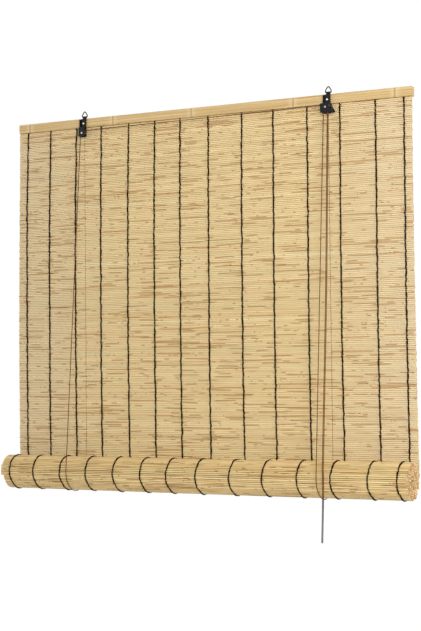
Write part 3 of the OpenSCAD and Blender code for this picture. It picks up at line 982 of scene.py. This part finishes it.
def makeHeart(shape):
    # the turns inside the roll, which only show between the reed ends
    deselectAll()
    bpy.ops.mesh.primitive_cylinder_add(
        vertices=shape["sides"], radius=turnRadius - shape["turns"] * rollShape["turnPitch"],
        depth=blindWidth - shape["stubs"] * rollShape["stub"], location=(0, *rollAxis),
        rotation=(0, math.pi / 2, 0))
    heart = bpy.context.object
    heart.name = "rollHeart"
    bpy.ops.object.transform_apply(location=True, rotation=True, scale=True)
    bpy.ops.object.mode_set(mode="EDIT")
    selectFacing(heart, lambda normal: abs(normal.x) > facing)
    bpy.ops.mesh.inset(thickness=shape["rim"], depth=-shape["hollow"], use_individual=True)
    bpy.ops.object.mode_set(mode="OBJECT")
    for label, value in shape["values"].items():
        giveValues(heart.data, label, np.full(len(heart.data.vertices), value))
    heart.data.materials.append(rollReed)
    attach(heart, "roll")


print("roll made,", makeRoll(), "reeds and reed ends")
makeHeart(heartShape)


# warp cords

# in mm, aside is how far each cord hangs from its even place, head how far more at the rail, and hoopAside
# its place on the roll; a hoop leans by a share of hoopLean that goes with the angle round the roll, with one
# row for the left hoops and one for the others
warpShape = {"strand": 3.3 * mm, "hoopStrand": 3.0 * mm, "sides": 6, "perReed": 4, "hug": 0.5, "outside": 0.3,
             "cross": 0.9 * mm, "forward": 1.6 * mm, "drift": 1.0 * mm, "hoopDrift": 0.3 * mm, "waves": 5,
             "pace": (0.05, 0.9), "phase": (0, 6.3), "wave": (0.3, 1), "kink": 0.8 * mm, "lump": 0.35,
             "ply": 0.5, "headReeds": 40, "hoopReeds": 61, "leftHoops": 6,
             "aside": [0, -0.5, 1.8, 0.5, 3.2, 2.2, -1.9, 0.6, 3.9, 1, 3, -1.8, 0.8, -0.2],
             "head": [4, 4, 3.5, 2, 3.5, 2.5, 1, 0, 1, 0, -1, 0.5, -1.5, -1],
             "hoopAside": [3.4, 4.3, 6.8, 4.9, 6.7, 6.4, 0.8, 3.5, 5.2, 2.8, 4, -0.3, 2.2, 1.6],
             "hoopLean": 5.5 * mm, "leanAngles": (0, 60, 125, 145, 165, 175, 195, 220, 250, 360),
             "leanShares": [(0.5, 1, 1, 0.82, 0.15, 0, 0, -0.1, -0.1, 0.5),
                            (0.95, 1, 1, 0.36, 0.03, 0, 0, 0.3, 0.3, 0.95)]}


def perReed(count, size):
    # an uneven value that changes at every reed
    values = [random.uniform(-1, 1) * size for i in range(count + 1)]
    return lambda reeds: np.interp(reeds, range(count + 1), values)


def strandRoute(reeds, side, spine, outward, x, wobble, strand):
    # one of two strands that pass in front of one reed and behind the next, and cross in front of the seam
    beat = np.cos(math.pi * (reeds - 0.5)) * side
    swing = np.sign(beat) * np.abs(beat) ** warpShape["hug"]
    out = (reedShape["thickness"] / 2 + strand * warpShape["outside"]) * swing
    out += warpShape["forward"] * (1 - np.abs(beat))
    aside = warpShape["cross"] * np.sin(math.pi * (reeds - 0.5)) * side
    return np.column_stack([x + aside + wobble(reeds), spine(reeds) + outward(reeds) * out[:, None]])


def twinedPair(name, count, spine, outward, x, wobble, strand):
    allPoints, allFaces = [], []
    reeds = np.linspace(0, count, count * warpShape["perReed"] + 1)
    around = np.linspace(0, 2 * math.pi, warpShape["sides"], endpoint=False)
    ring = strand / 2 * np.stack([np.cos(around), np.sin(around)], 1)
    for side in (1, -1):
        swell = 1 + perReed(count, warpShape["lump"])(reeds)
        route = strandRoute(reeds, side, spine, outward, x, wobble, strand)
        points, faces = sweep(route, ring[None] * swell[:, None, None], (1, 0, 0))
        first = sum(len(p) for p in allPoints)
        allPoints.append(points)
        allFaces += [tuple(i + first for i in face) for face in faces]
    points = np.vstack(allPoints)
    piece = meshPiece(name, points, allFaces, warpTwine, {"plyDepth": np.full(len(points), warpShape["ply"])})
    return piece


def slowDrift(count, size):
    # slow waves of a cord with a small kink at every reed
    ranges = [warpShape[label] for label in ("pace", "phase", "wave")]
    waves = [[random.uniform(*limits) for limits in ranges] for i in range(warpShape["waves"])]
    kinks = perReed(count, warpShape["kink"])
    return lambda reeds: kinks(reeds) + sum(size * w / 3 * np.sin(reeds * f + p) for f, p, w in waves)


def hangingWarp(i):
    # down the mat from the headrail to its foot
    count = matReeds - clampedReeds
    sway = slowDrift(count, warpShape["drift"])
    head = warpShape["head"][i - 1] * mm
    x = middle(f"warp_cord_{i}")[0] + warpShape["aside"][i - 1] * mm

    def height(reeds):
        return railLow - reeds * reedPitch

    def spine(reeds):
        return np.stack([np.full_like(reeds, matY), height(reeds)], 1)

    def outward(reeds):
        return np.stack([np.full_like(reeds, -1.0), np.zeros_like(reeds)], 1)

    def wobble(reeds):
        return sway(reeds) + leanAt(height(reeds)) + head * np.clip(1 - reeds / warpShape["headReeds"], 0, 1)

    warp = twinedPair(f"warpCord{i}", count, spine, outward, x, wobble, warpShape["strand"])
    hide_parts(f"warp_cord_{i}")
    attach(warp, "headrail")
    squashed(warp, matShape["clear"])


def rolledWarp(i):
    # once round the roll, from where the mat meets it
    count = warpShape["hoopReeds"]
    step = math.degrees(reedPitch / turnRadius)
    slide = slowDrift(count, warpShape["hoopDrift"])
    shares = warpShape["leanShares"][i > warpShape["leftHoops"]]
    x = middle(f"warp_cord_{i}")[0]

    def spine(reeds):
        return swollen(x, np.array([onSpiral(r * step) for r in reeds]))

    def outward(reeds):
        turn = np.radians(reeds * step)
        return np.stack([np.cos(turn), -np.sin(turn)], 1)

    def wobble(reeds):
        lean = np.interp(reeds * step, warpShape["leanAngles"], shares)
        return slide(reeds) + warpShape["hoopLean"] * lean

    hoopX = x + warpShape["hoopAside"][i - 1] * mm
    hoop = twinedPair(f"rollWarpCord{i}", count, spine, outward, hoopX, wobble, warpShape["hoopStrand"])
    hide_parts(f"roll_warp_cord_{i}")
    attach(hoop, "roll")


for i in range(1, len(warpShape["aside"]) + 1):
    hangingWarp(i)
    rolledWarp(i)
print("warp cords made")


# rings and screws

# half of a ring in mm: across from its pivot and up
ringShape = {"wire": 2.9 * mm, "sides": 12, "step": 0.4 * mm, "slit": 0.05,
             "half": [(5.2, 0), (7.1, 0.7), (8.2, 3), (7.6, 6.4), (3.3, 13.4), (1.8, 15.1)], "top": 15.8}


def makeRings():
    around = np.linspace(0, 2 * math.pi, ringShape["sides"], endpoint=False)
    circle = ringShape["wire"] / 2 * np.stack([np.cos(around), np.sin(around)], 1)
    half = [(ringShape["slit"], 0)] + ringShape["half"]
    outline = half + [(0, ringShape["top"])] + [(-x, z) for x, z in reversed(half)]
    for side in ("left", "right"):
        pivot = np.array(joints[side + "_ring_swing"]["pos_m"])
        route = smoothRoute([pivot + np.array([x, 0, z]) * mm for x, z in outline], ringShape["step"])
        points, faces = sweep(route, np.repeat(circle[None], len(route), 0), (0, 1, 0))
        ring = meshPiece(side + "Ring", points, faces, blackSteel)
        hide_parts(side + "_ring")
        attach(ring, side + "_ring")


screwShape = {"head": 3.7 * mm, "rise": 2.6 * mm, "shank": 1.6 * mm, "length": 6.9 * mm, "slot": 1.0 * mm,
              "reach": 2.3 * mm, "deep": 1.3 * mm, "sunk": 7 * mm, "sharp": 35}


def modelScrew(shape):
    # a pan head towards -Y on a plain shank, with a cross recess cut by two bars
    deselectAll()
    bpy.ops.mesh.primitive_uv_sphere_add(segments=24, ring_count=16, radius=shape["head"],
                                         rotation=(math.pi / 2, 0, 0))
    screw = bpy.context.object
    screw.scale = (1, 1, shape["rise"] / shape["head"])
    bpy.ops.object.transform_apply(location=True, rotation=True, scale=True)
    bpy.ops.object.mode_set(mode="EDIT")
    bpy.ops.mesh.select_all(action="SELECT")
    bpy.ops.mesh.bisect(plane_co=(0, 0, 0), plane_no=(0, 1, 0), use_fill=True, clear_outer=True)
    selectFacing(screw, lambda normal: normal.y > facing)
    bpy.ops.mesh.inset(thickness=shape["head"] - shape["shank"])
    bpy.ops.mesh.extrude_region_move(TRANSFORM_OT_translate={"value": (0, shape["length"], 0)})
    bpy.ops.object.mode_set(mode="OBJECT")
    for wide, tall in ((shape["reach"], shape["slot"] / 2), (shape["slot"] / 2, shape["reach"])):
        deselectAll()
        bpy.ops.mesh.primitive_cube_add(size=2, location=(0, -shape["rise"], 0))
        bar = bpy.context.object
        bar.scale = (wide, shape["deep"], tall)
        bpy.ops.object.transform_apply(location=True, rotation=True, scale=True)
        cut = screw.modifiers.new("recess", "BOOLEAN")
        cut.operation = "DIFFERENCE"
        cut.object = bar
        deselectAll()
        screw.select_set(True)
        bpy.context.view_layer.objects.active = screw
        bpy.ops.object.modifier_apply(modifier="recess")
        bpy.data.objects.remove(bar)
    bpy.ops.object.shade_smooth_by_angle(angle=math.radians(shape["sharp"]))
    screw.data.materials.append(brightSteel)
    return screw


def makeScrews():
    master = modelScrew(screwShape)
    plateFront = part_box("hanger_screws")[1][1] - screwShape["sunk"]
    height = middle("hanger_screws")[2]
    copies = []
    for side in ("left", "right"):
        copy = bpy.data.objects.new(side + "Screw", master.data.copy())
        scene.collection.objects.link(copy)
        copy.data.transform(Matrix.Translation((middle(side + "_axle")[0], plateFront, height)))
        copies.append(copy)
    screws = joined("hangerScrews", copies)
    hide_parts("hanger_screws")
    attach(screws, "headrail")
    bpy.data.objects.remove(master)


makeRings()
makeScrews()
print("rings and screws made")


# battens and fittings keep their solids

edgeShape = {"width": 0.25 * mm, "segments": 2, "angle": 40, "weld": 0.02 * mm}


def dress(node, finish, softened=False):
    piece = frame["nodes"][node]
    piece.data.materials.clear()
    piece.data.materials.append(finish)
    if softened:
        weld = piece.modifiers.new("weld", "WELD")
        weld.merge_threshold = edgeShape["weld"]
        soften = piece.modifiers.new("soften", "BEVEL")
        soften.width = edgeShape["width"]
        soften.segments = edgeShape["segments"]
        soften.limit_method = "ANGLE"
        soften.angle_limit = math.radians(edgeShape["angle"])


for node in ("front_batten", "back_batten", "foot_batten"):
    dress(node, bambooStrip)
for side in ("left", "right"):
    dress(side + "_hanger", blackSteel, softened=True)
    dress(side + "_housing", blackSteel, softened=True)
    dress(side + "_axle", brightSteel)
for node in ("left_sheave", "right_rear_sheave", "right_front_sheave", "lock_roller", "batten_nails"):
    dress(node, dullSteel)
print("fittings dressed")
